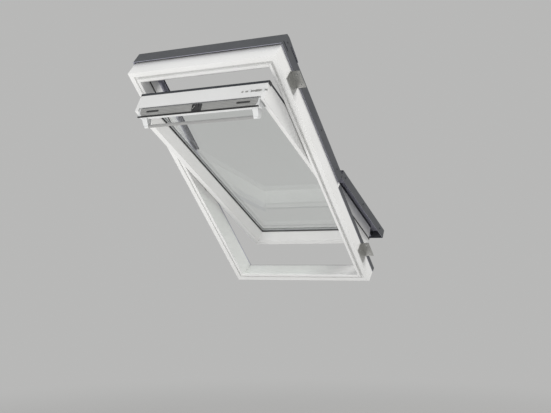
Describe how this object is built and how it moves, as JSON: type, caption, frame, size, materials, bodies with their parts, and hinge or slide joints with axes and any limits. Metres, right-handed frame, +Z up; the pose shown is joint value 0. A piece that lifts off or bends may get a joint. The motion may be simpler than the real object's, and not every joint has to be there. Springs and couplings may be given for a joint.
{
  "type": "roof window",
  "caption": "Centre-pivot roof window with a tipped white sash in its frame, grey outer covers, a vent flap with a control bar, and fixing brackets.",
  "frame": {"origin": "on the outer face of the frame's lower member, midway across, 33 mm out from the room face", "axes": "+X to the right as seen from the room, +Y level and away from the room, +Z up; the window lies at its roof pitch of 43.6 degrees, its upper end towards -Y"},
  "size_m": [0.872, 1.2433, 1.0786],
  "materials": {
    "white_timber": "white paint",
    "white_carrier": "matte",
    "grey_cover": "satin grey coat",
    "glazing_profile": "satin",
    "glass": "polished",
    "spacer": "matte",
    "black_rubber": "matte",
    "zinc_steel": "zinc plated",
    "white_aluminium": "white coat",
    "satin_aluminium": "anodised",
    "grey_plastic": "fine texture",
    "white_plastic": "satin",
    "dark_plastic": "matte",
    "filter_foam": "open foam"
  },
  "bodies": {
    "frame": {"frame_right": "white_timber", "frame_left": "white_timber", "frame_top": "white_timber", "frame_bottom": "white_timber", "frame_seal": "black_rubber", "top_carrier": "white_carrier", "top_hood": "grey_cover", "hood_seal": "black_rubber", "sill_cover": "grey_cover", "striker": "zinc_steel", "bolt_bush": "white_plastic", "side_carrier_right": "white_carrier", "side_carrier_left": "white_carrier", "upper_cover_right": "grey_cover", "upper_cover_left": "grey_cover", "cover_seal_right": "black_rubber", "cover_seal_left": "black_rubber", "lower_rail_right": "grey_cover", "lower_rail_left": "grey_cover", "frame_hinge_right": "zinc_steel", "frame_hinge_left": "zinc_steel", "lower_bracket_right": "zinc_steel", "lower_bracket_left": "zinc_steel", "upper_bracket_right": "zinc_steel", "upper_bracket_left": "zinc_steel"},
    "sash": {"sash_top_rail": "white_timber", "sash_bottom_rail": "white_timber", "sash_stile_right": "white_timber", "sash_stile_left": "white_timber", "inner_pane": "glass", "outer_pane": "glass", "glass_spacer": "spacer", "inner_gasket": "black_rubber", "outer_gasket": "black_rubber", "glazing_bottom": "glazing_profile", "glazing_top": "glazing_profile", "glazing_side_right": "glazing_profile", "glazing_side_left": "glazing_profile", "bottom_cover": "grey_cover", "lower_cover_right": "grey_cover", "lower_cover_left": "grey_cover", "sash_seal": "black_rubber", "vent_filter": "filter_foam", "bolt_guides": "white_plastic", "sash_hinge_right": "zinc_steel", "sash_hinge_left": "zinc_steel", "flap_pin_right": "zinc_steel", "flap_pin_left": "zinc_steel"},
    "flap": {"flap_panel": "white_aluminium", "vent_grille": "grey_plastic", "flap_seal": "black_rubber", "control_bar": "satin_aluminium", "bar_arm_right": "white_plastic", "bar_arm_left": "white_plastic", "flap_cap_right": "white_plastic", "flap_cap_left": "white_plastic", "latch_case": "dark_plastic"},
    "bolt": {"barrel_bolt": "zinc_steel"}
  },
  "joints": [
    {"name": "sash_tilt", "type": "hinge", "parent": "frame", "child": "sash", "pos_m": [0, -0.47068, 0.53384], "axis": [1, 0, 0], "range_deg": [-16.2, 108.8]},
    {"name": "flap_pull", "type": "hinge", "parent": "sash", "child": "flap", "pos_m": [0, -0.99761, 0.74502], "axis": [1, 0, 0], "range_deg": [0, 20]},
    {"name": "bolt_slide", "type": "slide", "parent": "sash", "child": "bolt", "axis": [1, 0, 0], "range_m": [0, 0.016]}
  ]
}
